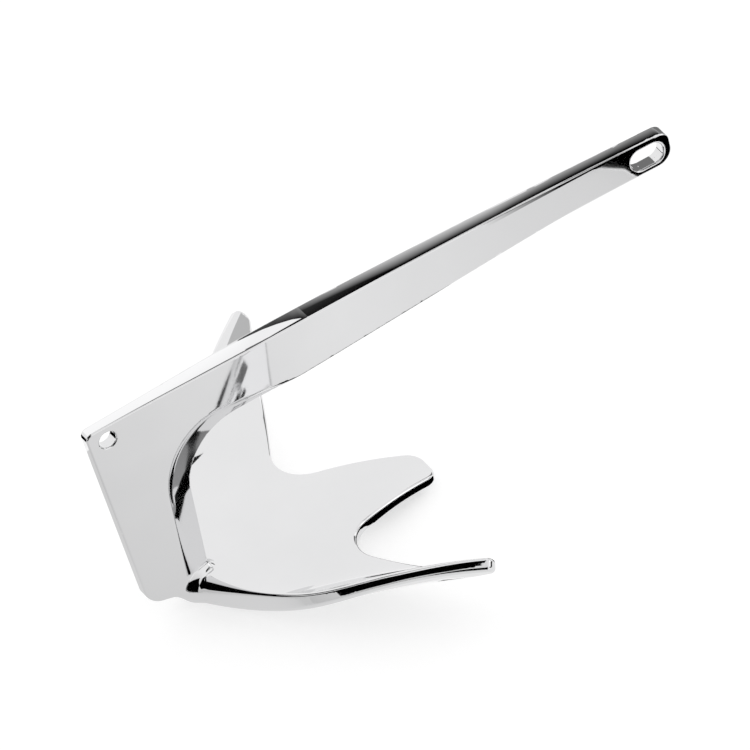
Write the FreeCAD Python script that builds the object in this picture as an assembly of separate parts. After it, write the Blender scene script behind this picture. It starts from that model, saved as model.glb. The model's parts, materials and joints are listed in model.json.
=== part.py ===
import FreeCAD, Part
import math
import os

from FreeCAD import Vector
Vector2d = FreeCAD.Base.Vector2d

# A claw anchor cast in one piece of stainless steel and polished all over.
# It is drawn in the shank's own frame: X runs forward from the heel corner to the eye,
# Y to the left, and Z up, with the shank's top edge along Z = 0.
# At the end the whole casting is tipped into the attitude in which it lies on a flat floor.

# Shank and heel plate, seen from the side
shank_length = 421.0
top_bow = 4.8
heel_round = 5.0
eye_depth = 23.2
eye_bar_length = 83.0
eye_top_round = 7.0
eye_bottom_round = 11.0
crown_depth = 37.5
crown_station = 125.0
rear_lean = 6.6
plate_front = 62.5
plate_height = 159.0
toe_height = 148.5
throat_round = 41.0
toe_round = 9.0
front_foot_round = 3.0
bar_blend = 300.0

# Thickness of the shank and plate, as half thicknesses at stations along X
half_at_heel = 4.2
half_at_plate = 5.0
half_at_crown = 6.6
half_at_shank = 5.4
half_at_eye = 5.1
heel_station = 8.0
plate_station = 50.0
crown_rear_station = 105.0
crown_front_station = 195.0
shank_station = 300.0
eye_station = 385.0

# Half width, overhang and corner of the blocks that the shank and its openings are cut from
stock_half = 20.0
stock_over = 30.0
stock_corner = 1.0

# The front edge of the plate is drawn down to a blunt knife edge
knife_depth = 17.0
knife_blunt = 1.0
knife_rise = 1.0
knife_under_out = 7.0
knife_end = 145.0
knife_end_half = 6.6
knife_throat_round = 36.0
knife_throat_growth = 11.0
edge_round = 1.2

# Shackle slot and trip line hole
slot_length = 23.0
slot_width = 15.6
slot_corner = 7.0
slot_end_wall = 5.6
slot_top_wall = 4.0
slot_lip_round = 1.5
trip_hole_diameter = 12.0
trip_hole_x = 14.5
trip_hole_drop = 10.3
trip_lip_round = 1.0

# Claw, seen from above
claw_root_x = 41.0
claw_half_width = 160.6
side_tip_x = 195.2
knuckle_x = 103.5
knuckle_y = 90.0
rim_radius = 200.0
rim_sagitta = 6.7
root_corner_round = 14.0
side_tip_round = 4.0
notch_x = 133.0
notch_y = 37.5
notch_round = 22.0
centre_tip_x = 220.0
centre_tip_half = 12.5
centre_tip_round = 11.0

# Margins of the claw's two faces outside its outline, and the spans they are built with
sheet_rear_over = 10.0
sheet_front_over = 4.0
sheet_side_over = 5.0
sheet_spans = 9

# Claw, as heights of its upper face under the shank's top edge
floor_depth = 146.0
centre_dip = 11.0
centre_dip_start = 150.0
centre_dip_width = 60.0
lip_rise = 50.5
lip_reach = 18.0
lip_spread = 114.3
lip_power = 2.86
ridge_softness = 12.0

# Thickness of the claw
claw_thickness = 7.0
rim_thickening = 2.5
root_thickness = 19.5
thickest_x = 80.0
root_spread_x = 60.0
root_spread_y = 62.0
upper_rim_round = 2.3
lower_rim_round = 3.0

# Hollow round between the plate's foot and the claw
flare_round = 7.0
flare_rear = 56.5
flare_front_back = 4.0
flare_core = 1.2
flare_bite = 0.5
flare_sink = 0.6
flare_sweep = 80.0
flare_steps = 5

# How near two spots count as the same one, and the step a slope is measured over
same_spot = 0.05
slope_step = 0.05


def rounded_outline(corners):
    # Returns the straight runs and arcs of a closed outline, from its corners (x, y, radius).
    count = len(corners)
    trims = []
    for i in range(count):
        x, y, radius = corners[i]
        ax, ay = corners[i - 1][0] - x, corners[i - 1][1] - y
        bx, by = corners[(i + 1) % count][0] - x, corners[(i + 1) % count][1] - y
        a_len, b_len = math.hypot(ax, ay), math.hypot(bx, by)
        ax, ay, bx, by = ax / a_len, ay / a_len, bx / b_len, by / b_len
        half = 0.5 * math.acos(ax * bx + ay * by)
        run = radius / math.tan(half)
        mx, my = ax + bx, ay + by
        m_len = math.hypot(mx, my)
        reach = radius / math.sin(half) - radius
        start = (x + ax * run, y + ay * run)
        middle = (x + mx / m_len * reach, y + my / m_len * reach)
        end = (x + bx * run, y + by * run)
        trims.append((start, middle, end))
    runs = []
    for i in range(count):
        start, middle, end = trims[i]
        runs.append(("arc", start, middle, end))
        runs.append(("line", end, trims[(i + 1) % count][0]))
    return runs


def wire_at(y, corners):
    edges = []
    for kind, *points in rounded_outline(corners):
        at = [Vector(p[0], y, p[1]) for p in points]
        if kind == "arc":
            edges.append(Part.Arc(at[0], at[1], at[2]).toShape())
        else:
            edges.append(Part.makeLine(at[0], at[1]))
    return Part.Wire(edges)


def under_edge(x):
    # Height of the shank's lower edge, which tapers from the crown to the level eye bar.
    bar_start = shank_length - eye_bar_length
    return -eye_depth - (crown_depth - eye_depth) * (bar_start - x) / (bar_start - crown_station)


def side_outline():
    # Shank and plate from the side, with the top edge bowed up a little between its ends.
    middle = 0.5 * shank_length
    flat = middle - heel_round - eye_top_round
    return [
        (0.0, 0.0, heel_round),
        (middle, 2 * top_bow, flat * middle / (2 * top_bow)),
        (shank_length, 0.0, eye_top_round),
        (shank_length, -eye_depth, eye_bottom_round),
        (shank_length - eye_bar_length, -eye_depth, bar_blend),
        (plate_front, under_edge(plate_front), throat_round),
        (plate_front, -plate_height, front_foot_round),
        (math.tan(math.radians(rear_lean)) * toe_height, -toe_height, toe_round),
    ]


def plan_profile():
    # The shank and plate seen from above: a smooth curve of half thickness along X.
    stations = [
        (-stock_over, half_at_heel),
        (heel_station, half_at_heel),
        (plate_station, half_at_plate),
        (crown_rear_station, half_at_crown),
        (crown_front_station, half_at_crown),
        (shank_station, half_at_shank),
        (eye_station, half_at_eye),
        (shank_length + stock_over, half_at_eye),
    ]
    floor = -plate_height - stock_over
    sides = []
    for hand in (1, -1):
        curve = Part.BSplineCurve()
        curve.interpolate(Points=[Vector(x, hand * h, floor) for x, h in stations])
        sides.append(curve.toShape())
    left, right = sides
    ends = [
        Part.makeLine(left.Vertexes[0].Point, right.Vertexes[0].Point),
        Part.makeLine(left.Vertexes[-1].Point, right.Vertexes[-1].Point),
    ]
    wire = Part.Wire(Part.sortEdges([left, right] + ends)[0])
    return Part.Face(wire).extrude(Vector(0, 0, 2 * stock_over - floor))


def knife_side(hand):
    # Keeps what lies behind the slanting faces that thin the plate's front edge and the
    # throat down to a blunt knife edge, on one side of the middle plane.
    share = knife_blunt / half_at_plate
    front_out = knife_depth * share / (1 - share)
    far = shank_length + stock_over
    wires = []
    for k in (0.0, 2.0):
        front = plate_front + front_out - k * (knife_depth + front_out)
        lift = -knife_under_out + k * (knife_rise + knife_under_out)
        fade = -knife_under_out + k * knife_under_out * half_at_plate / knife_end_half
        z_crown = under_edge(crown_station) + lift
        z_end = under_edge(knife_end) + fade
        slope = (z_end - z_crown) / (knife_end - crown_station)
        throat = knife_throat_round + k * knife_throat_growth
        corners = [
            (-stock_over, stock_over, stock_corner),
            (far, stock_over, stock_corner),
            (far, z_crown + slope * (far - crown_station), stock_corner),
            (front, z_crown + slope * (front - crown_station), throat),
            (front, -plate_height - stock_over, stock_corner),
            (-stock_over, -plate_height - stock_over, stock_corner),
        ]
        wires.append(wire_at(hand * k * half_at_plate, corners))
    return Part.makeLoft(wires, True, True)


def middle_of(edge):
    return edge.valueAt(0.5 * (edge.FirstParameter + edge.LastParameter))


def open_with_lips(solid, cutter, lip):
    # Cuts a way through the thickness and rounds its lip on both sides.
    opened = solid.cut(cutter)
    box = cutter.BoundBox
    lips = []
    for edge in opened.Edges:
        at = edge.BoundBox
        inside_x = at.XMin > box.XMin - same_spot and at.XMax < box.XMax + same_spot
        inside_z = at.ZMin > box.ZMin - same_spot and at.ZMax < box.ZMax + same_spot
        one_side = at.YMin > 0.5 * half_at_eye or at.YMax < -0.5 * half_at_eye
        if inside_x and inside_z and one_side:
            lips.append(edge)
    return opened.makeFillet(lip, lips)


def shackle_slot():
    right = shank_length - slot_end_wall
    left = right - slot_length
    top = -slot_top_wall
    low = top - slot_width
    corners = [
        (left, top, slot_corner),
        (right, top, slot_corner),
        (right, low, slot_corner),
        (left, low, slot_corner),
    ]
    return Part.Face(wire_at(-stock_half, corners)).extrude(Vector(0, 2 * stock_half, 0))


def trip_hole():
    start = Vector(trip_hole_x, -stock_half, -trip_hole_drop)
    return Part.makeCylinder(0.5 * trip_hole_diameter, 2 * stock_half, start, Vector(0, 1, 0))


def shank_and_plate():
    slab = Part.Face(wire_at(-stock_half, side_outline())).extrude(Vector(0, 2 * stock_half, 0))
    slab = slab.common(plan_profile()).Solids[0]
    sides = [edge for edge in slab.Edges if abs(middle_of(edge).y) > 0.5 * half_at_eye]
    slab = slab.makeFillet(edge_round, sides)
    body = slab.common(knife_side(1).fuse(knife_side(-1))).Solids[0]
    body = open_with_lips(body, shackle_slot(), slot_lip_round)
    return open_with_lips(body, trip_hole(), trip_lip_round)


def inside_rim(x, y):
    # Distance in from the bowed line of the swept rim, which runs from root to side tip.
    run_x, run_y = side_tip_x - claw_root_x, claw_half_width
    chord = math.hypot(run_x, run_y)
    radius = (chord * chord / 4 + rim_sagitta ** 2) / (2 * rim_sagitta)
    back = (radius - rim_sagitta) / chord
    centre_x = claw_root_x + 0.5 * run_x + back * run_y
    centre_y = 0.5 * run_y - back * run_x
    return radius - math.hypot(x - centre_x, y - centre_y)


def lip_share(x, side):
    # 1 along the swept rim, fading to nothing inside it, and weaker towards the root.
    fade = 2 / (1 + math.exp(inside_rim(x, side) / lip_reach))
    return fade * math.tanh((side / lip_spread) ** lip_power)


def claw_top(x, y):
    # Height of the claw's upper face: a floor that dips to the centre tip, with a lip that
    # turns up towards the swept rim.
    side = math.hypot(y, ridge_softness) - ridge_softness
    dip = max(0.0, x - centre_dip_start) / (centre_tip_x - centre_dip_start)
    floor = -floor_depth - centre_dip * dip ** 2 * math.exp(-((y / centre_dip_width) ** 2))
    return Vector(x, y, floor + lip_rise * lip_share(x, side))


def claw_normal(x, y):
    along = claw_top(x + slope_step, y) - claw_top(x - slope_step, y)
    across = claw_top(x, y + slope_step) - claw_top(x, y - slope_step)
    return along.cross(across).normalize()


def claw_bottom(x, y):
    # The under face lies a thickness below the upper one, measured square to it.
    near_root = math.exp(-((x - thickest_x) / root_spread_x) ** 2 - (y / root_spread_y) ** 2)
    thickness = claw_thickness + rim_thickening * lip_share(x, abs(y))
    thickness += (root_thickness - thickness) * near_root
    return claw_top(x, y) - claw_normal(x, y) * thickness


def smooth_surface(form, x_values, y_values):
    # A smooth surface through a grid of points, whose parameters are X and Y themselves.
    def through(points, parameters):
        curve = Part.BSplineCurve()
        curve.interpolate(Points=points, Parameters=parameters)
        return curve

    rows = [through([form(x, y) for y in y_values], y_values) for x in x_values]
    columns = []
    for j in range(rows[0].NbPoles):
        columns.append(through([row.getPole(j + 1) for row in rows], x_values))
    poles = []
    for i in range(columns[0].NbPoles):
        poles.append([column.getPole(i + 1) for column in columns])
    surface = Part.BSplineSurface()
    surface.buildFromPolesMultsKnots(
        poles,
        columns[0].getMultiplicities(),
        rows[0].getMultiplicities(),
        columns[0].getKnots(),
        rows[0].getKnots(),
        False,
        False,
        3,
        3,
    )
    return surface


def claw_outline():
    # Plan of the three flukes as flat curves, the same on both sides of the middle plane.
    half = [
        (knuckle_x, knuckle_y, rim_radius),
        (side_tip_x, claw_half_width, side_tip_round),
        (notch_x, notch_y, notch_round),
        (centre_tip_x, centre_tip_half, centre_tip_round),
    ]
    other = [(x, -y, radius) for x, y, radius in reversed(half)]
    corners = [(claw_root_x, 0.0, root_corner_round)] + half + other
    curves = []
    for kind, *points in rounded_outline(corners):
        at = [Vector2d(p[0], p[1]) for p in points]
        if kind == "arc":
            curves.append(Part.Geom2d.ArcOfCircle2d(at[0], at[1], at[2]))
        else:
            curves.append(Part.Geom2d.Line2dSegment(at[0], at[1]))
    return curves


def claw():
    rear = claw_root_x - sheet_rear_over
    run = centre_tip_x + sheet_front_over - rear
    wide = claw_half_width + sheet_side_over
    x_values = [rear + run * i / sheet_spans for i in range(sheet_spans + 1)]
    y_values = [wide * (j / sheet_spans) for j in range(-sheet_spans, sheet_spans + 1)]
    upper = smooth_surface(claw_top, x_values, y_values)
    lower = smooth_surface(claw_bottom, x_values, y_values)
    curves = claw_outline()
    upper_edges = [curve.toShape(upper) for curve in curves]
    lower_edges = [curve.toShape(lower) for curve in curves]
    faces = [Part.Face(upper, Part.Wire(upper_edges)), Part.Face(lower, Part.Wire(lower_edges))]
    for above, below in zip(upper_edges, lower_edges):
        faces.append(Part.makeRuledSurface(above, below))
    shell = Part.Compound(faces)
    shell.sewShape()
    sheet = Part.Solid(shell.Shells[0])
    for edges, radius in ((upper_edges, upper_rim_round), (lower_edges, lower_rim_round)):
        spots = [middle_of(edge) for edge in edges]
        rim = []
        for edge in sheet.Edges:
            if min(middle_of(edge).distanceToPoint(spot) for spot in spots) < same_spot:
                rim.append(edge)
        sheet = sheet.makeFillet(radius, rim)
    return sheet


def offset_wire(corners, reach, z):
    # Outline that stands off by one distance all round from a convex outline.
    count = len(corners)
    joints = []
    for i in range(count):
        before, here, after = corners[i - 1], corners[i], corners[(i + 1) % count]
        outward = []
        for start, end in ((before, here), (here, after)):
            dx, dy = end[0] - start[0], end[1] - start[1]
            length = math.hypot(dx, dy)
            outward.append((dy / length * reach, -dx / length * reach))
        (ax, ay), (bx, by) = outward
        size = math.hypot(ax + bx, ay + by)
        middle = ((ax + bx) / size * reach, (ay + by) / size * reach)
        spots = [outward[0], middle, outward[1]]
        joints.append([Vector(here[0] + x, here[1] + y, z) for x, y in spots])
    edges = []
    for i in range(count):
        start, middle, end = joints[i]
        edges.append(Part.Arc(start, middle, end).toShape())
        edges.append(Part.makeLine(end, joints[(i + 1) % count][0]))
    return Part.Wire(edges)


def root_flare():
    # The hollow round where the plate's foot spreads into the claw.
    y_rear = half_at_plate - flare_core
    x_front = plate_front - flare_front_back
    corners = [
        (flare_rear, -y_rear),
        (x_front, -knife_blunt),
        (x_front, knife_blunt),
        (flare_rear, y_rear),
    ]
    least = flare_core - flare_bite
    wires = []
    for step in range(flare_steps + 1):
        angle = math.radians(flare_sweep * step / flare_steps)
        reach = least + flare_round * (1 - math.cos(angle))
        z = -floor_depth - flare_sink + flare_round * (1 - math.sin(angle))
        wires.append(offset_wire(corners, reach, z))
    return Part.makeLoft(wires, True, False, False, 5)


def lay_on_floor(solid):
    # Tips the casting about Y until it stands on its centre tip and the bellies of its side
    # flukes, then sets the floor at Z = 0 under the middle of its length.
    points, facets = solid.tessellate(same_spot)
    spots = sorted((point.x, point.z) for point in points)
    hull = []
    for spot in spots:
        while len(hull) > 1 and turns_down(hull[-2], hull[-1], spot):
            hull.pop()
        hull.append(spot)
    balance = solid.CenterOfMass.x
    for left, right in zip(hull, hull[1:]):
        if left[0] <= balance <= right[0]:
            pitch = math.degrees(math.atan2(right[1] - left[1], right[0] - left[0]))
    solid.rotate(Vector(0, 0, 0), Vector(0, 1, 0), pitch)
    box = solid.optimalBoundingBox(False, False)
    solid.translate(Vector(-0.5 * (box.XMin + box.XMax), 0.0, -box.ZMin))
    return solid


def turns_down(first, second, third):
    # True where the middle one of three points lies above the line through the other two.
    rise = (second[1] - first[1]) * (third[0] - first[0])
    return rise >= (third[1] - first[1]) * (second[0] - first[0])


anchor = claw().fuse(root_flare()).fuse(shank_and_plate()).Solids[0]
os.makedirs("parts", exist_ok=True)
lay_on_floor(anchor).exportStep("parts/claw_anchor.step")
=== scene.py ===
import json
import math

import bpy
import numpy as np
from mathutils import Matrix, Vector


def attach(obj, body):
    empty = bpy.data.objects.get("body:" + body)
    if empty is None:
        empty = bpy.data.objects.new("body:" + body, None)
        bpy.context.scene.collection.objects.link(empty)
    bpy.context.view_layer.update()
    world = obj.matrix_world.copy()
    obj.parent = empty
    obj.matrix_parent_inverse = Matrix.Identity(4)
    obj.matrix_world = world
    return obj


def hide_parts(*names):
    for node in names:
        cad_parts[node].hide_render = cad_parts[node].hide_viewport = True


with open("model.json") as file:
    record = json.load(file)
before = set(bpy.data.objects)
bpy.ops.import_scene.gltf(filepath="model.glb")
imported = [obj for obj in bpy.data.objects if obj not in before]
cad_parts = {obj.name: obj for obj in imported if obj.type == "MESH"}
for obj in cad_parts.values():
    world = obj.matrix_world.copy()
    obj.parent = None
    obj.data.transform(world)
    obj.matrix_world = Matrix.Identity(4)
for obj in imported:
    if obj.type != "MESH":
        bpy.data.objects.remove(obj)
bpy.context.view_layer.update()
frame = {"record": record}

# A claw anchor in polished stainless steel on a white ground.
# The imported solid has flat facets, which show in a mirror finish, so a fine mesh of the same
# form replaces it. The form is a signed distance field made of the casting's own dimensions,
# in millimetres, in the shank's frame: X from the heel corner to the eye, Y to the left, and
# Z up, with the shank's top edge along Z = 0.

# Shank and heel plate, seen from the side
SHANK_LENGTH = 421.0
TOP_BOW = 4.8
HEEL_ROUND = 5.0
EYE_DEPTH = 23.2
EYE_BAR_LENGTH = 83.0
EYE_TOP_ROUND = 7.0
EYE_BOTTOM_ROUND = 11.0
CROWN_DEPTH = 37.5
CROWN_STATION = 125.0
REAR_LEAN = math.radians(6.6)
PLATE_FRONT = 62.5
PLATE_HEIGHT = 159.0
TOE_HEIGHT = 148.5
TOE_ROUND = 9.0
THROAT_ROUND = 41.0
BAR_BLEND = 10.0

# Half thickness of the shank and plate along X
HALF_STATIONS = (-30.0, 8.0, 50.0, 105.0, 195.0, 300.0, 385.0, 451.0)
HALF_THICKNESS = (4.2, 4.2, 5.0, 6.6, 6.6, 5.4, 5.1, 5.1)
EDGE_ROUND = 1.2
TOP_CROWN_RADIUS = 180.0

# Slanting faces that thin the plate's front edge to a blunt knife edge
KNIFE_DEPTH = 17.0
KNIFE_BLUNT = 1.0
KNIFE_HALF = 5.0
KNIFE_RISE = 1.0
KNIFE_UNDER_OUT = 7.0
KNIFE_END = 145.0
KNIFE_END_HALF = 6.6
KNIFE_THROAT_ROUND = 36.0
KNIFE_THROAT_GROWTH = 11.0
KNIFE_SOFTNESS = 0.8

# Shackle slot and trip line hole
SLOT_LENGTH = 23.0
SLOT_WIDTH = 15.6
SLOT_CORNER = 7.0
SLOT_END_WALL = 5.6
SLOT_TOP_WALL = 4.0
SLOT_LIP_ROUND = 1.5
SLOT_CENTRE = (
    SHANK_LENGTH - SLOT_END_WALL - 0.5 * SLOT_LENGTH,
    -SLOT_TOP_WALL - 0.5 * SLOT_WIDTH,
)
TRIP_HOLE_RADIUS = 6.0
TRIP_HOLE = (14.5, -10.3)
TRIP_LIP_ROUND = 1.0

# Plan of the claw: corners (x, y, radius) of one half, from the root to the centre tip
CLAW_ROOT = (41.0, 0.0, 14.0)
CLAW_HALF = (
    (103.5, 90.0, 200.0),
    (195.2, 160.6, 4.0),
    (133.0, 37.5, 22.0),
    (220.0, 12.5, 11.0),
)
RIM_SAGITTA = 6.7

# Heights of the claw's upper face, its thickness, the rounding of its rim, which grows towards
# the root and the side tips, and the flare at its root, which grows under the claw
FLOOR_DEPTH = 146.0
CENTRE_DIP = 11.0
CENTRE_DIP_START = 150.0
CENTRE_DIP_WIDTH = 60.0
LIP_RISE = 50.5
LIP_REACH = 18.0
LIP_SPREAD = 114.3
LIP_POWER = 2.86
RIDGE_SOFTNESS = 12.0
CLAW_THICKNESS = 7.0
RIM_THICKENING = 2.5
ROOT_THICKNESS = 19.5
THICKEST_X = 80.0
ROOT_SPREAD = (60.0, 62.0)
UPPER_RIM_ROUND = 2.3
ROOT_RIM_GROWTH = 8.0
ROOT_RIM_REACH = 30.0
ROOT_RIM_POWER = 2.6
TIP_RIM_GROWTH = 2.2
TIP_RIM_Y = 122.0
TIP_RIM_REACH = 22.0
LOWER_RIM_ROUND = 3.0
ROOT_FLARE = 7.0
UNDER_FLARE_GROWTH = 7.0
UNDER_FLARE_TOP = -150.0
UNDER_FLARE_FADE = 3.0

# Fineness of the mesh, in millimetres
COARSE_CELL = 5.1
CELLS_PER_COARSE = 3
FINEST_EDGE = 0.45
BEND_PER_EDGE = math.radians(11.0)
GRID_LOW = (-9.3, -168.2, -176.1)
GRID_HIGH = (SHANK_LENGTH + 8, 168.0, 12.0)

# The claw is worked out below its ceiling only, and counts as far off above it
CLAW_CEILING = -80.0
FAR_OFF = 60.0

# Steps by which slopes are measured, the least slope, and the longest move towards the surface
SLOPE_STEP = 0.05
NORMAL_STEP = 0.02
LEAST_SLOPE = 0.05
LONGEST_MOVE = 1.0

# Width of the band round the surface, in coarse cells, the share of each slide along it, and
# how many rounds each step of the meshing takes
NEAR_SURFACE = 1.2
SLIDE_SHARE = 0.6
FOOT_ROUNDS = 3
SPREAD_ROUNDS = 3
SPLIT_ROUNDS = 3

# Metres in a millimetre
METRES = 0.001

# The steel: cloudy patches a little lighter or darker and more or less finely polished
CLOUD_SCALE = 14.0
CLOUD_DETAIL = 4.0
CLOUD_RANGE = (0.3, 0.7)
DARK_STEEL = (0.75, 0.75, 0.757, 1)
LIGHT_STEEL = (0.83, 0.83, 0.835, 1)
FINEST_POLISH = 0.03
COARSEST_POLISH = 0.055

# The floor: its grey, how much it is lifted to white, and how far it reaches, in metres
FLOOR_GREY = 0.55
FLOOR_ROUGHNESS = 0.9
FLOOR_LIFT = 0.55
FLOOR_REACH = 4.0

# The light: the side it comes from, its level on the other side, and where the change lies
BRIGHT_SIDE = (0.77, 0.64, 0.0)
DIM_LEVEL = 0.72
LIGHT_CHANGE = (-0.9, 0.1)

# The camera: its directions in the shank's frame, the width and the middle of its view, the
# latter from the heel corner, and its distance and reach, all in metres
CAMERA_RIGHT = (0.8455, -0.507, -0.1673)
CAMERA_BACK = (-0.2904, -0.700, 0.6522)
VIEW_WIDTH = 0.45872
VIEW_MIDDLE = (0.1794, 0.0366)
CAMERA_DISTANCE = 3
CAMERA_REACH = 20

# Where the cards stand, in millimetres in the shank's frame, and in metres off the floor
OVER_TOP = 10
CEILING = 400
LEFT_WALL = -1400
RIGHT_WALL = 1500
FAR_WALL = 200
EYE_EDGE = -12
NEAR_WALL = -700
CARD_FOOT = -160
CARD_OFF_FLOOR = 0.003


def upright(start, end, foot, top, low, high=None):
    """Rows of points of a plain upright card, with its brightness at the foot and the top."""
    high = low if high is None else high
    return tuple(((across, foot, low), (across, top, high)) for across in (start, end))


# Cards that only the polished steel shows, by the axis that each group faces and its level. They
# glow though they are no lamps and paint reflections into the steel: black and grey ones are
# painted dark bands and lines, and bright ones are painted highlights. A card is a grid of rows of
# points: two places along the card and a brightness. The places are (x, y) on a level card or the
# floor, (y, z) on one that faces X, and (x, z) on one that faces Y.
PAINTED_REFLECTION_CARDS = (
    # Cards 10 mm over the shank's top, whose pattern lies almost painted on its faces: painted
    # dark bands across the top face, a painted dark line along its near edge, and in heel_top a
    # painted highlight brighter than white.
    ("z", OVER_TOP, {
        "along_top": (
            ((163, -5, 0), (163, 7, 0.03), (163, 16, 0.4)),
            ((230, -5, 0), (230, 1, 0), (230, 12, 0.7)),
            ((300, -5, 0), (300, 2, 0), (300, 11, 0.7)),
            ((380, 1, 0), (380, 6, 0), (380, 15, 0.5)),
            ((440, 5, 0), (440, 8, 0), (440, 20, 0.5)),
        ),
        "wedge_tip": (
            ((119, 12, 0.08), (122, 18, 0.08)),
            ((136, 9.9, 0.05), (138, 18, 0.1)),
            ((145, 7.5, 0.03), (147, 18, 0.15)),
            ((154, 4.3, 0.02), (156, 17, 0.25)),
            ((159, 1.2, 0), (162, 16, 0.35)),
            ((163, -5, 0), (163, 16, 0.4)),
        ),
        "near_edge_line": (
            ((5, -9, 0.9), (5, -1.5, 0.9)),
            ((45, -9, 0.25), (45, -1.5, 0.25)),
            ((85, -9, 0.1), (85, -1.5, 0.1)),
            ((120, -9, 0.15), (120, -0.8, 0.15)),
            ((140, -6, 0.02), (140, 0.3, 0.02)),
            ((162, -6, 0), (162, 0.8, 0)),
        ),
        "heel_top": (
            ((-10, -1.4, 1.15), (-10, 20, 1.2)),
            ((119, -0.7, 1.1), (118, 12, 1.2)),
            ((135, 0.4, 1.1), (135, 9.9, 1.1)),
            ((144, 0.7, 1.1), (144, 7.5, 1.1)),
            ((153, 0.9, 1.1), (153, 4.3, 1.1)),
            ((158, 1.0, 1.1), (158, 1.3, 1.1)),
        ),
    }),
    # Black and grey cards at the ceiling: painted dark bands along the claw's rim and in the
    # throat, and a painted grey stripe on the knife's slanting faces.
    ("z", CEILING, {
        "over_left": (
            ((LEFT_WALL, NEAR_WALL, 0), (LEFT_WALL, 400, 0)),
            ((-500, -500, 0), (-500, 260, 0)),
            ((-150, -270, 0), (-150, 190, 0)),
            ((20, -200, 0), (20, 150, 0)),
            ((130, -60, 0), (130, 60, 0)),
        ),
        "over_throat": (
            ((365, -178, 0), (340, -200, 0)),
            ((427, -230, 0), (402, -256, 0)),
            ((494, -282, 0), (469, -308, 0)),
            ((546, -300, 0), (525, -362, 0)),
            ((605, -300, 0), (605, -362, 0)),
        ),
        "over_throat_stripe": (
            ((365, -178, 0.3), (375, -120, 0.3)),
            ((427, -230, 0.35), (440, -160, 0.35)),
            ((494, -282, 0.4), (495, -215, 0.4)),
            ((546, -300, 0.4), (546, -215, 0.4)),
        ),
        "over_throat_side": (
            ((496, -213, 0), (550, -213, 0)),
            ((490, -15, 0), (545, -15, 0)),
        ),
    }),
    # Black and grey upright cards: painted dark bands and painted grey on the rim's outer wall and
    # the far fluke's tip.
    ("x", LEFT_WALL, {
        "left_wall": upright(-60, 400, 300, CEILING, 0),
        "left_wall_low": upright(-60, 400, -190, 299, 0.6, 0.7),
        "left_wall_shade": upright(NEAR_WALL, -61, CARD_FOOT, 260, 0.6),
    }),
    ("x", RIGHT_WALL, {
        "right_wall": upright(-500, 0, 60, 420, 0.57),
        # glow_right and glow_near_right glow brighter than white though they are no lamps: painted
        # light that lifts what the steel shows of its own near fluke.
        "glow_right": upright(5, 600, 150, 800, 1.25),
        "glow_near_right": upright(-1100, -505, 200, 900, 1.5),
    }),
    ("y", FAR_WALL, {
        "beyond_eye": upright(470, 1100, -80, 190, 0.2),
    }),
    # A card just off the near face by the eye: a painted dark line along the shank's near top
    # edge.
    ("y", EYE_EDGE, {
        "eye_edge_line": (
            ((290, -6, 0.9), (290, -1, 0.9)),
            ((325, -6, 0.3), (325, 0, 0.3)),
            ((345, -6, 0), (345, 1.5, 0)),
            ((375, -6, 0), (375, 6, 0)),
            ((414, -6, 0), (414, 7, 0)),
        ),
    }),
    # Black and grey upright cards on the near side: painted dark bands on the rim and painted grey
    # below them.
    ("y", NEAR_WALL, {
        "near_wall": upright(-700, 60, CARD_FOOT, 700, 0),
        "near_wall_shade": upright(LEFT_WALL, -701, CARD_FOOT, 200, 0.6),
        "near_wall_right": upright(520, 2200, CARD_FOOT, 60, 0),
    }),
    # Cards on the floor, seen only in the steel: black ones are painted dark bands, floor_gap is
    # painted shade in the gap under the notch, and the grey floor_shade and floor_rear_shade ones
    # are the floor's shadow round the anchor as the steel shows it, a painted shadow.
    ("floor", 0, {
        "floor_near": (
            ((540, NEAR_WALL, 0), (1600, NEAR_WALL, 0)),
            ((385, -290, 0), (1600, -290, 0)),
            ((419, -178, 0), (1600, -178, 0)),
            ((436, -174, 0), (1600, -174, 0)),
            ((449, -160, 0), (1600, -160, 0)),
            ((460, -100, 0), (1600, -100, 0)),
        ),
        "floor_gap": (
            ((165, -105, 0), (300, -110, 0)),
            ((165, -12, 0), (300, -10, 0)),
        ),
        "floor_left": (
            ((LEFT_WALL, NEAR_WALL, 0), (85, NEAR_WALL, 0)),
            ((LEFT_WALL, -290, 0), (85, -290, 0)),
        ),
        "floor_rear": (
            ((LEFT_WALL, 165, 0), (-61, 165, 0)),
            ((LEFT_WALL, 900, 0), (-61, 900, 0)),
        ),
        "floor_rear_shade": (
            ((LEFT_WALL, -288, 0.68), (-61, -288, 0.68)),
            ((LEFT_WALL, 160, 0.68), (-61, 160, 0.68)),
        ),
        "floor_shade": (
            ((-60, -289, 0.74), (260, -289, 0.94), (382, -289, 0.84)),
            ((-60, -177, 0.74), (250, -177, 0.94), (417, -177, 0.82)),
            ((-60, -112, 0.72), (240, -112, 0.94), (417, -112, 0.82)),
        ),
        "floor_shade_eye": (
            ((417, -177, 0.82), (418, -177, 0.82)),
            ((417, -173, 0.82), (435, -173, 0.78)),
            ((417, -159, 0.82), (448, -159, 0.78)),
            ((417, -112, 0.82), (458, -112, 0.78)),
        ),
        "floor_shade_under": (
            ((-60, -112, 0.72), (164, -112, 0.89)),
            ((-60, -60, 0.7), (110, -60, 0.83)),
            ((-60, 150, 0.7), (45, 150, 0.74)),
        ),
    }),
)


def both_round(a, b, radius):
    """What lies inside both fields, with the edge between them rounded off."""
    inner = np.minimum(np.maximum(a, b), -radius)
    return inner + np.hypot(np.maximum(a + radius, 0.0), np.maximum(b + radius, 0.0))


def either_round(a, b, radius):
    """What lies inside either field, with the corner between them filled by a hollow round."""
    outer = np.maximum(np.minimum(a, b), radius)
    return outer - np.hypot(np.maximum(radius - a, 0.0), np.maximum(radius - b, 0.0))


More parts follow.
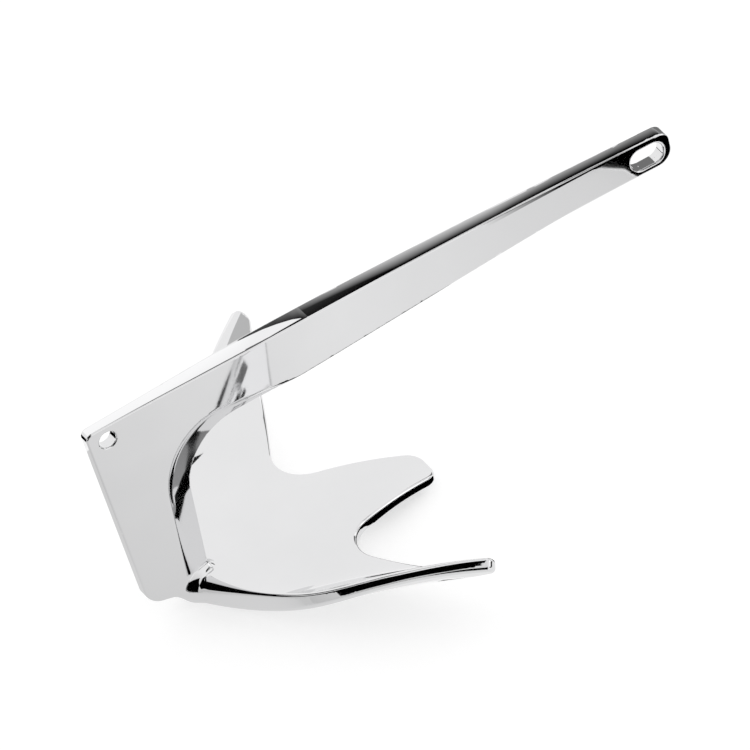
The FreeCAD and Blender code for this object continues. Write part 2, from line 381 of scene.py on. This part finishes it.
def spline(stations, values):
    """A natural cubic spline through the stations, as a function of an array."""
    x, v = np.array(stations), np.array(values)
    step = np.diff(x)
    slopes = np.diff(v) / step
    system = np.eye(len(x))
    right = np.zeros(len(x))
    for i in range(1, len(x) - 1):
        system[i, i - 1 : i + 2] = step[i - 1], 2 * (step[i - 1] + step[i]), step[i]
        right[i] = 6 * (slopes[i] - slopes[i - 1])
    bend = np.linalg.solve(system, right)

    def value(at):
        i = np.clip(np.searchsorted(x, at) - 1, 0, len(x) - 2)
        h = step[i]
        left, ahead = (at - x[i]) / h, (x[i + 1] - at) / h
        curve = bend[i] * (ahead**3 - ahead) + bend[i + 1] * (left**3 - left)
        return ahead * v[i] + left * v[i + 1] + curve * h * h / 6

    return value


half_thickness = spline(HALF_STATIONS, HALF_THICKNESS)


def under_edge(x):
    """Height of the shank's lower edge, which tapers from the crown to the level eye bar."""
    bar_start = SHANK_LENGTH - EYE_BAR_LENGTH
    slope = (CROWN_DEPTH - EYE_DEPTH) / (bar_start - CROWN_STATION)
    behind = 0.5 * (x - bar_start - np.hypot(x - bar_start, BAR_BLEND))
    return -EYE_DEPTH + slope * behind


def side_field(x, y, z):
    """Distance from the side outline of the shank and plate, whose top edge is lightly crowned."""
    top_radius = (0.25 * SHANK_LENGTH**2 + TOP_BOW**2) / (2 * TOP_BOW)
    top = np.hypot(x - 0.5 * SHANK_LENGTH, z - TOP_BOW + top_radius) - top_radius
    top = top + y**2 / (2 * TOP_CROWN_RADIUS)
    rear = -x * math.cos(REAR_LEAN) - z * math.sin(REAR_LEAN)
    toe_x = TOE_HEIGHT * math.tan(REAR_LEAN)
    foot_slope = (TOE_HEIGHT - PLATE_HEIGHT) / (PLATE_FRONT - toe_x)
    foot = (-TOE_HEIGHT + foot_slope * (x - toe_x) - z) / math.hypot(1, foot_slope)
    inside = either_round(x - PLATE_FRONT, under_edge(x) - z, THROAT_ROUND)
    inside = both_round(inside, x - SHANK_LENGTH, EYE_BOTTOM_ROUND)
    corner = np.where(x > 0.5 * SHANK_LENGTH, EYE_TOP_ROUND, HEEL_ROUND)
    inside = both_round(inside, top, corner)
    return both_round(inside, both_round(rear, foot, TOE_ROUND), HEEL_ROUND)


def knife_field(x, y, z):
    """Distance from the slanting faces that thin the front edge, ahead of which all is cut."""

    def cut(side):
        k = side / KNIFE_HALF
        share = KNIFE_BLUNT / KNIFE_HALF
        front_out = KNIFE_DEPTH * share / (1 - share)
        front = PLATE_FRONT + front_out - k * (KNIFE_DEPTH + front_out)
        lift = -KNIFE_UNDER_OUT + k * (KNIFE_RISE + KNIFE_UNDER_OUT)
        fade = -KNIFE_UNDER_OUT + k * KNIFE_UNDER_OUT * KNIFE_HALF / KNIFE_END_HALF
        z_crown = under_edge(CROWN_STATION) + lift
        z_end = under_edge(KNIFE_END) + fade
        slope = (z_end - z_crown) / (KNIFE_END - CROWN_STATION)
        line = z_crown + slope * (x - CROWN_STATION)
        radius = KNIFE_THROAT_ROUND + k * KNIFE_THROAT_GROWTH
        return either_round(x - front, (line - z) / np.hypot(1, slope), radius)

    side = np.abs(y)
    steepness = (cut(side + SLOPE_STEP) - cut(side - SLOPE_STEP)) / (2 * SLOPE_STEP)
    return cut(side) / np.hypot(1, steepness)


def slot_field(x, z):
    """Distance from the shackle slot, a rectangle with round corners."""
    along = np.abs(x - SLOT_CENTRE[0]) - 0.5 * SLOT_LENGTH + SLOT_CORNER
    across = np.abs(z - SLOT_CENTRE[1]) - 0.5 * SLOT_WIDTH + SLOT_CORNER
    outside = np.hypot(np.maximum(along, 0), np.maximum(across, 0))
    return outside + np.minimum(np.maximum(along, across), 0) - SLOT_CORNER


def shank_field(x, y, z):
    """Distance from the shank and plate, with the slot and the trip line hole through them."""
    sides = np.abs(y) - half_thickness(x)
    body = both_round(side_field(x, y, z), sides, EDGE_ROUND)
    body = both_round(body, knife_field(x, y, z), KNIFE_SOFTNESS)
    body = both_round(body, -slot_field(x, z), SLOT_LIP_ROUND)
    hole = np.hypot(x - TRIP_HOLE[0], z - TRIP_HOLE[1]) - TRIP_HOLE_RADIUS
    return both_round(body, -hole, TRIP_LIP_ROUND)


def inside_rim(x, side):
    """Distance in from the bowed line of the swept rim, from the root to a side tip."""
    run_x, run_y = CLAW_HALF[1][0] - CLAW_ROOT[0], CLAW_HALF[1][1]
    chord = math.hypot(run_x, run_y)
    radius = (0.25 * chord**2 + RIM_SAGITTA**2) / (2 * RIM_SAGITTA)
    back = (radius - RIM_SAGITTA) / chord
    centre_x = CLAW_ROOT[0] + 0.5 * run_x + back * run_y
    centre_y = 0.5 * run_y - back * run_x
    return radius - np.hypot(x - centre_x, side - centre_y)


def lip_share(x, side):
    """1 along the swept rim, fading to nothing inside it, and weaker towards the root."""
    fade = 2 / (1 + np.exp(inside_rim(x, side) / LIP_REACH))
    return fade * np.tanh((side / LIP_SPREAD) ** LIP_POWER)


def claw_top(x, y):
    """Height of the claw's upper face."""
    side = np.hypot(y, RIDGE_SOFTNESS) - RIDGE_SOFTNESS
    dip = np.maximum(0, x - CENTRE_DIP_START) / (CLAW_HALF[3][0] - CENTRE_DIP_START)
    floor = -FLOOR_DEPTH - CENTRE_DIP * dip**2 * np.exp(-((y / CENTRE_DIP_WIDTH) ** 2))
    return floor + LIP_RISE * lip_share(x, side)


def claw_outline():
    """Straight runs and arcs of the claw's plan, from its rounded corners."""
    other = [(x, -y, radius) for x, y, radius in reversed(CLAW_HALF)]
    corners = [CLAW_ROOT] + list(CLAW_HALF) + other
    arcs = []
    for i, (x, y, radius) in enumerate(corners):
        here = np.array((x, y))
        before = np.array(corners[i - 1][:2]) - here
        after = np.array(corners[(i + 1) % len(corners)][:2]) - here
        before, after = before / np.linalg.norm(before), after / np.linalg.norm(after)
        middle = (before + after) / np.linalg.norm(before + after)
        half = 0.5 * math.acos(np.dot(before, after))
        run = radius / math.tan(half)
        turn = before[0] * after[1] - before[1] * after[0]
        centre = here + middle * radius / math.sin(half)
        start, end = here + before * run, here + after * run
        arcs.append((start, end, centre, radius, turn > 0, middle, half))
    return arcs


CLAW_ARCS = claw_outline()


def plan_field(x, y):
    """Distance from the claw's plan outline, negative inside."""
    best = np.full(x.shape, np.inf)
    sign = np.ones(x.shape)
    for i, (_, end, centre, radius, convex, middle, half) in enumerate(CLAW_ARCS):
        start = CLAW_ARCS[(i + 1) % len(CLAW_ARCS)][0]
        along = (start - end) / np.linalg.norm(start - end)
        dx, dy = x - end[0], y - end[1]
        run = dx * along[0] + dy * along[1]
        off = -dx * along[1] + dy * along[0]
        beyond = run - np.clip(run, 0, np.linalg.norm(start - end))
        distance = np.hypot(off, beyond)
        nearer = distance < best
        best = np.where(nearer, distance, best)
        sign = np.where(nearer, np.sign(off), sign)
        cx, cy = x - centre[0], y - centre[1]
        reach = np.hypot(cx, cy)
        towards = -(cx * middle[0] + cy * middle[1])
        within = towards > reach * math.sin(half)
        distance = np.where(within, np.abs(reach - radius), np.inf)
        nearer = distance < best
        best = np.where(nearer, distance, best)
        inward = np.sign(reach - radius) if convex else np.sign(radius - reach)
        sign = np.where(nearer, inward, sign)
    return best * sign


def claw_field(x, y, z):
    """Distance from the claw: a curved sheet whose rim stands square to its faces."""
    step = SLOPE_STEP

    def slopes(x, y):
        slope_x = (claw_top(x + step, y) - claw_top(x - step, y)) / (2 * step)
        slope_y = (claw_top(x, y + step) - claw_top(x, y - step)) / (2 * step)
        return slope_x, slope_y

    foot_x, foot_y = x, y
    for _ in range(FOOT_ROUNDS):
        slope_x, slope_y = slopes(foot_x, foot_y)
        stretch = np.sqrt(1 + slope_x**2 + slope_y**2)
        level = claw_top(foot_x, foot_y) + slope_x * (x - foot_x) + slope_y * (y - foot_y)
        above = (z - level) / stretch
        foot_x, foot_y = x + above * slope_x / stretch, y + above * slope_y / stretch
    near_root = np.exp(
        -(((foot_x - THICKEST_X) / ROOT_SPREAD[0]) ** 2) - (foot_y / ROOT_SPREAD[1]) ** 2
    )
    side = np.hypot(foot_y, RIDGE_SOFTNESS) - RIDGE_SOFTNESS
    thickness = CLAW_THICKNESS + RIM_THICKENING * lip_share(foot_x, side)
    thickness = thickness + (ROOT_THICKNESS - thickness) * near_root
    rim = plan_field(foot_x, foot_y)
    rim_x = (plan_field(foot_x + step, foot_y) - rim) / step
    rim_y = (plan_field(foot_x, foot_y + step) - rim) / step
    across = slope_x * rim_x + slope_y * rim_y
    along = slope_y * rim_x - slope_x * rim_y
    rim = rim * np.sqrt(1 + across**2 / (1 + along**2))
    out = np.abs(foot_y)
    at_root = np.exp(-((out / ROOT_RIM_REACH) ** ROOT_RIM_POWER)) * (foot_x < CLAW_HALF[0][0])
    at_tip = np.exp(-(((out - TIP_RIM_Y) / TIP_RIM_REACH) ** 2))
    upper_round = UPPER_RIM_ROUND + ROOT_RIM_GROWTH * at_root + TIP_RIM_GROWTH * at_tip
    upper = both_round(above, rim, upper_round)
    lower = both_round(-above - thickness, rim, LOWER_RIM_ROUND)
    return np.maximum(upper, lower)


def anchor_field(points):
    """Distance from the whole anchor, with a flare between the plate and the claw."""
    x, y, z = points[:, 0], points[:, 1], points[:, 2]
    shank = shank_field(x, y, z)
    low = z < CLAW_CEILING
    claw = np.full(x.shape, FAR_OFF)
    claw[low] = claw_field(x[low], y[low], z[low])
    under = 1 / (1 + np.exp((z - UNDER_FLARE_TOP) / UNDER_FLARE_FADE))
    return either_round(shank, claw, ROOT_FLARE + UNDER_FLARE_GROWTH * under)


def gradient(points):
    """Unit normals of the field at the points, and its values there divided by its slope."""
    slope = np.empty_like(points)
    for axis in range(3):
        ahead, behind = points.copy(), points.copy()
        ahead[:, axis] += NORMAL_STEP
        behind[:, axis] -= NORMAL_STEP
        slope[:, axis] = (anchor_field(ahead) - anchor_field(behind)) / (2 * NORMAL_STEP)
    length = np.maximum(np.linalg.norm(slope, axis=1), LEAST_SLOPE)
    return slope / length[:, None], anchor_field(points) / length


def onto_surface(points, rounds):
    """Moves the points along the field's slope until they lie on the surface."""
    for _ in range(rounds):
        normal, height = gradient(points)
        points = points - normal * np.clip(height, -LONGEST_MOVE, LONGEST_MOVE)[:, None]
    return points


def grid_signs(low, cell, counts):
    """The field on a fine grid, worked out near the surface only."""
    coarse = cell * CELLS_PER_COARSE
    block = [count // CELLS_PER_COARSE + 1 for count in counts]
    middles = [low[i] + coarse * (np.arange(block[i]) + 0.5) for i in range(3)]
    centres = np.stack(np.meshgrid(*middles, indexing="ij"), -1).reshape(-1, 3)
    values = anchor_field(centres).reshape(block)
    near = np.abs(values) < coarse * NEAR_SURFACE
    wide = near.copy()
    for axis in range(3):
        wide |= np.roll(near, 1, axis) | np.roll(near, -1, axis)
    index = [
        np.minimum(np.arange(count + 1) // CELLS_PER_COARSE, blocks - 1)
        for count, blocks in zip(counts, block)
    ]
    field = values[np.ix_(*index)]
    exact = np.nonzero(wide[np.ix_(*index)])
    points = np.stack([low[i] + cell * exact[i] for i in range(3)], 1).astype(float)
    field[exact] = anchor_field(points)
    return field


def surface_net():
    """Points and triangles of a net over the field's surface, one point in each crossed cell."""
    cell = COARSE_CELL / CELLS_PER_COARSE
    low, high = np.array(GRID_LOW), np.array(GRID_HIGH)
    counts = [int(math.ceil(n)) for n in (high - low) / cell]
    field = grid_signs(low, cell, counts)
    inside = field < 0
    corners = [(i, j, k) for i in (0, 1) for j in (0, 1) for k in (0, 1)]
    nx, ny, nz = counts

    def at(array, corner):
        i, j, k = corner
        return array[i : nx + i, j : ny + j, k : nz + k]

    total = sum(at(inside, corner).astype(np.int8) for corner in corners)
    crossed = (total > 0) & (total < len(corners))
    number = np.full(crossed.shape, -1)
    number[crossed] = np.arange(crossed.sum())
    cells = np.stack(np.nonzero(crossed), 1)
    place = np.zeros((len(cells), 3))
    hits = np.zeros(len(cells))
    for a in corners:
        for axis in range(3):
            if a[axis]:
                continue
            b = list(a)
            b[axis] = 1
            value_a, value_b = at(field, a)[crossed], at(field, b)[crossed]
            cut = (value_a < 0) != (value_b < 0)
            share = value_a[cut] / (value_a[cut] - value_b[cut])
            spot = np.tile(np.array(a, float), (cut.sum(), 1))
            spot[:, axis] = share
            place[cut] += spot
            hits[cut] += 1
    points = low + cell * (cells + place / hits[:, None])
    quads = []
    for axis in range(3):
        u, v = (axis + 1) % 3, (axis + 2) % 3
        here = [slice(None)] * 3
        ahead = [slice(None)] * 3
        here[axis], ahead[axis] = slice(0, -1), slice(1, None)
        first, second = inside[tuple(here)], inside[tuple(ahead)]
        for outward in (True, False):
            spots = np.stack(np.nonzero(first & ~second if outward else ~first & second), 1)
            ring = []
            for du, dv in ((-1, -1), (0, -1), (0, 0), (-1, 0)):
                shifted = spots.copy()
                shifted[:, u] += du
                shifted[:, v] += dv
                ring.append(number[tuple(shifted.T)])
            quad = np.stack(ring if outward else ring[::-1], 1)
            quads.append(quad)
    return points, np.concatenate(quads)


def spread_evenly(points, quads, rounds):
    """Slides the points along the surface towards the middles of their neighbours."""
    ends = np.concatenate([quads[:, (i, (i + 1) % 4)] for i in range(4)])
    ends = np.concatenate((ends, ends[:, ::-1]))
    number = np.bincount(ends[:, 0], minlength=len(points))[:, None]
    for _ in range(rounds):
        sums = [np.bincount(ends[:, 0], spots, len(points)) for spots in points[ends[:, 1]].T]
        shift = np.stack(sums, 1) / number - points
        normal, _ = gradient(points)
        along = shift - np.einsum("ij,ij->i", shift, normal)[:, None] * normal
        points = onto_surface(points + SLIDE_SHARE * along, rounds=1)
    return points


def cut_quads(quads, normals):
    """Two triangles to a quad, cut along the diagonal whose ends face most alike."""
    a, b, c, d = quads.T
    one = np.einsum("ij,ij->i", normals[a], normals[c])
    two = np.einsum("ij,ij->i", normals[b], normals[d])
    first = one >= two
    return np.concatenate(
        (
            np.stack((a, b, c), 1)[first],
            np.stack((a, c, d), 1)[first],
            np.stack((a, b, d), 1)[~first],
            np.stack((b, c, d), 1)[~first],
        )
    )


def split_bends(points, triangles, normals):
    """Splits each edge that bends too far at its middle, with the new point on the surface."""
    edges = np.sort(triangles[:, ((0, 1), (1, 2), (2, 0))], axis=2).reshape(-1, 2)
    keys, back = np.unique(edges[:, 0] * len(points) + edges[:, 1], return_inverse=True)
    first, second = keys // len(points), keys % len(points)
    length = np.linalg.norm(points[first] - points[second], axis=1)
    facing = np.einsum("ij,ij->i", normals[first], normals[second])
    chosen = (facing < math.cos(BEND_PER_EDGE)) & (length > 2 * FINEST_EDGE)
    if not chosen.any():
        return points, triangles, normals, False
    middle = onto_surface(0.5 * (points[first] + points[second])[chosen], rounds=3)
    number = np.full(len(keys), -1)
    number[chosen] = len(points) + np.arange(chosen.sum())
    points = np.concatenate((points, middle))
    normals = np.concatenate((normals, gradient(middle)[0]))
    mids = number[back].reshape(-1, 3)
    marked = mids >= 0
    count = marked.sum(1)
    parts = [triangles[count == 0]]
    for turn in range(3):
        order = [(turn + i) % 3 for i in range(3)]
        t, m, hit = triangles[:, order], mids[:, order], marked[:, order]
        one = (count == 1) & hit[:, 0]
        parts.append(np.stack((t[one, 0], m[one, 0], t[one, 2]), 1))
        parts.append(np.stack((m[one, 0], t[one, 1], t[one, 2]), 1))
        two = (count == 2) & hit[:, 0] & hit[:, 1]
        parts.append(np.stack((m[two, 0], t[two, 1], m[two, 1]), 1))
        parts.append(np.stack((t[two, 0], m[two, 0], m[two, 1]), 1))
        parts.append(np.stack((t[two, 0], m[two, 1], t[two, 2]), 1))
    three = count == 3
    t, m = triangles[three], mids[three]
    parts.append(np.stack((t[:, 0], m[:, 0], m[:, 2]), 1))
    parts.append(np.stack((m[:, 0], t[:, 1], m[:, 1]), 1))
    parts.append(np.stack((m[:, 2], m[:, 1], t[:, 2]), 1))
    parts.append(m)
    return points, np.concatenate(parts), normals, True


def anchor_mesh():
    """Points, triangles and normals of the anchor, in millimetres in the shank's frame."""
    points, quads = surface_net()
    points = spread_evenly(onto_surface(points, rounds=3), quads, SPREAD_ROUNDS)
    points = onto_surface(points, rounds=2)
    normals, _ = gradient(points)
    triangles = cut_quads(quads, normals)
    for _ in range(SPLIT_ROUNDS):
        points, triangles, normals, more = split_bends(points, triangles, normals)
        if not more:
            break
    return points, triangles, normals


def rest_pose(mounts):
    """Turn and shift, in metres, that lay the shank's frame on the frame's two openings."""
    place = {mount["name"]: Vector(mount["pos_m"]) for mount in mounts}
    run = Vector((SLOT_CENTRE[0] - TRIP_HOLE[0], 0, SLOT_CENTRE[1] - TRIP_HOLE[1]))
    ahead = place["shackle_slot"] - place["trip_line_hole"]
    pitch = math.atan2(ahead.z, ahead.x) - math.atan2(run.z, run.x)
    turn = Matrix.Rotation(-pitch, 4, "Y")
    start = turn @ (METRES * Vector((TRIP_HOLE[0], 0, TRIP_HOLE[1])))
    return Matrix.Translation(place["trip_line_hole"] - start) @ turn


def add_object(name, data):
    """A new object in the scene, with the mesh or camera given."""
    thing = bpy.data.objects.new(name, data)
    bpy.context.collection.objects.link(thing)
    return thing


def add_anchor(pose):
    """The anchor's fine mesh as an object, at rest."""
    points, triangles, normals = anchor_mesh()
    turn = np.array(pose.to_3x3())
    points = METRES * points @ turn.T + np.array(pose.translation)
    normals = normals @ turn.T
    mesh = bpy.data.meshes.new("claw_anchor_surface")
    mesh.from_pydata(points.tolist(), [], triangles.tolist())
    mesh.polygons.foreach_set("use_smooth", np.ones(len(triangles), bool))
    mesh.normals_split_custom_set_from_vertices(normals.tolist())
    mesh.update()
    return add_object("claw_anchor_surface", mesh)


def new_material(name):
    """A material with its nodes, links and shader."""
    material = bpy.data.materials.new(name)
    material.use_nodes = True
    tree = material.node_tree
    return material, tree.nodes, tree.links, tree.nodes["Principled BSDF"]


def polished_steel():
    """Mirror-polished steel with faint cloudy patches."""
    material, nodes, links, shader = new_material("polished_steel")
    shader.inputs["Metallic"].default_value = 1.0
    place = nodes.new("ShaderNodeTexCoord")
    clouds = nodes.new("ShaderNodeTexNoise")
    clouds.inputs["Scale"].default_value = CLOUD_SCALE
    clouds.inputs["Detail"].default_value = CLOUD_DETAIL
    links.new(place.outputs["Object"], clouds.inputs["Vector"])
    tone = nodes.new("ShaderNodeMix")
    tone.data_type = "RGBA"
    tone.inputs["A"].default_value = DARK_STEEL
    tone.inputs["B"].default_value = LIGHT_STEEL
    links.new(clouds.outputs["Fac"], tone.inputs["Factor"])
    links.new(tone.outputs["Result"], shader.inputs["Base Color"])
    polish = nodes.new("ShaderNodeMapRange")
    polish.inputs["From Min"].default_value = CLOUD_RANGE[0]
    polish.inputs["From Max"].default_value = CLOUD_RANGE[1]
    polish.inputs["To Min"].default_value = FINEST_POLISH
    polish.inputs["To Max"].default_value = COARSEST_POLISH
    links.new(clouds.outputs["Fac"], polish.inputs["Value"])
    links.new(polish.outputs["Result"], shader.inputs["Roughness"])
    return material


def white_floor():
    """A floor that takes the anchor's shadow, and shows white to the camera and in the steel."""
    material, nodes, links, shader = new_material("white_floor")
    shader.inputs["Base Color"].default_value = (FLOOR_GREY, FLOOR_GREY, FLOOR_GREY, 1)
    shader.inputs["Roughness"].default_value = FLOOR_ROUGHNESS
    shader.inputs["Specular IOR Level"].default_value = 0.0
    path = nodes.new("ShaderNodeLightPath")
    seen = nodes.new("ShaderNodeMath")
    seen.operation = "MAXIMUM"
    links.new(path.outputs["Is Camera Ray"], seen.inputs[0])
    links.new(path.outputs["Is Glossy Ray"], seen.inputs[1])
    through = nodes.new("ShaderNodeMath")
    through.operation = "MAXIMUM"
    links.new(seen.outputs[0], through.inputs[0])
    links.new(path.outputs["Is Transmission Ray"], through.inputs[1])
    lift = nodes.new("ShaderNodeMath")
    lift.operation = "MULTIPLY"
    lift.inputs[1].default_value = FLOOR_LIFT
    links.new(through.outputs[0], lift.inputs[0])
    shader.inputs["Emission Color"].default_value = (1, 1, 1, 1)
    links.new(lift.outputs[0], shader.inputs["Emission Strength"])
    return material


def add_camera(pose):
    """An orthographic camera above the near side and the heel, as in the photograph."""
    turn = pose.to_3x3()
    right = Vector(CAMERA_RIGHT).normalized()
    back = Vector(CAMERA_BACK)
    back = (back - back.dot(right) * right).normalized()
    up = back.cross(right)
    right, up, back = turn @ right, turn @ up, turn @ back
    data = bpy.data.cameras.new("camera")
    data.type = "ORTHO"
    data.ortho_scale = VIEW_WIDTH
    data.clip_end = CAMERA_REACH
    camera = add_object("camera", data)
    middle = pose.translation + VIEW_MIDDLE[0] * right + VIEW_MIDDLE[1] * up
    place = Matrix((right, up, back)).transposed().to_4x4()
    place.translation = middle + CAMERA_DISTANCE * back
    camera.matrix_world = place
    bpy.context.scene.camera = camera


def add_floor():
    """The white floor under the anchor."""
    mesh = bpy.data.meshes.new("floor")
    reach = FLOOR_REACH
    corners = [(-reach, -reach, 0), (reach, -reach, 0), (reach, reach, 0), (-reach, reach, 0)]
    mesh.from_pydata(corners, [], [(0, 1, 2, 3)])
    mesh.materials.append(white_floor())
    add_object("floor", mesh)


def card_point(pose, facing, level, across, along):
    """A card's point, in metres, from its two places along the card."""
    if facing == "x":
        spot = (level, across, along)
    elif facing == "y":
        spot = (across, level, along)
    else:
        spot = (across, along, level)
    spot = pose @ (METRES * Vector(spot))
    if facing == "floor":
        spot.z = CARD_OFF_FLOOR
    return spot


def add_painted_reflection_cards(pose):
    """Black, grey and bright cards round the anchor, which only the polished steel shows: painted
    dark bands, lines and highlights in its reflections.
    """
    points, faces, shades = [], [], []
    for facing, level, group in PAINTED_REFLECTION_CARDS:
        for rows in group.values():
            for row, ahead in zip(rows, rows[1:] + (None,)):
                for i, (across, along, shade) in enumerate(row):
                    number = len(points)
                    points.append(card_point(pose, facing, level, across, along))
                    shades.append(shade)
                    if ahead and i + 1 < len(row):
                        beyond = number + len(row)
                        faces.append((number, number + 1, beyond + 1, beyond))
    mesh = bpy.data.meshes.new("cards")
    mesh.from_pydata(points, [], faces)
    shade = mesh.attributes.new("shade", "FLOAT", "POINT")
    shade.data.foreach_set("value", shades)
    material, nodes, links, shader = new_material("card")
    shader.inputs["Base Color"].default_value = (0, 0, 0, 1)
    shader.inputs["Specular IOR Level"].default_value = 0.0
    # The cards glow at their shade though they are no lamps: painted reflections in the steel.
    shader.inputs["Emission Color"].default_value = (1, 1, 1, 1)
    attribute = nodes.new("ShaderNodeAttribute")
    attribute.attribute_name = "shade"
    links.new(attribute.outputs["Fac"], shader.inputs["Emission Strength"])
    mesh.materials.append(material)
    cards = add_object("cards", mesh)
    # Hidden from camera, diffuse and shadow rays, so they show only as painted reflections in the
    # steel.
    cards.visible_camera = False
    cards.visible_diffuse = False
    cards.visible_shadow = False


def light_world():
    """White light from all round, brightest from ahead and the left."""
    world = bpy.data.worlds.new("world")
    bpy.context.scene.world = world
    world.use_nodes = True
    nodes, links = world.node_tree.nodes, world.node_tree.links
    background = nodes["Background"]
    background.inputs["Color"].default_value = (1, 1, 1, 1)
    place = nodes.new("ShaderNodeTexCoord")
    towards = nodes.new("ShaderNodeVectorMath")
    towards.operation = "DOT_PRODUCT"
    towards.inputs[1].default_value = BRIGHT_SIDE
    links.new(place.outputs["Generated"], towards.inputs[0])
    spread = nodes.new("ShaderNodeMapRange")
    spread.interpolation_type = "SMOOTHSTEP"
    spread.inputs["From Min"].default_value = LIGHT_CHANGE[0]
    spread.inputs["From Max"].default_value = LIGHT_CHANGE[1]
    spread.inputs["To Min"].default_value = DIM_LEVEL
    spread.inputs["To Max"].default_value = 1.0
    links.new(towards.outputs["Value"], spread.inputs["Value"])
    links.new(spread.outputs["Result"], background.inputs["Strength"])


pose = rest_pose(frame["record"]["mounts"])
anchor = add_anchor(pose)
anchor.data.materials.append(polished_steel())
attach(anchor, "root")
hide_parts("claw_anchor")

add_floor()
add_painted_reflection_cards(pose)
light_world()
add_camera(pose)

bpy.context.scene.view_settings.view_transform = "Standard"
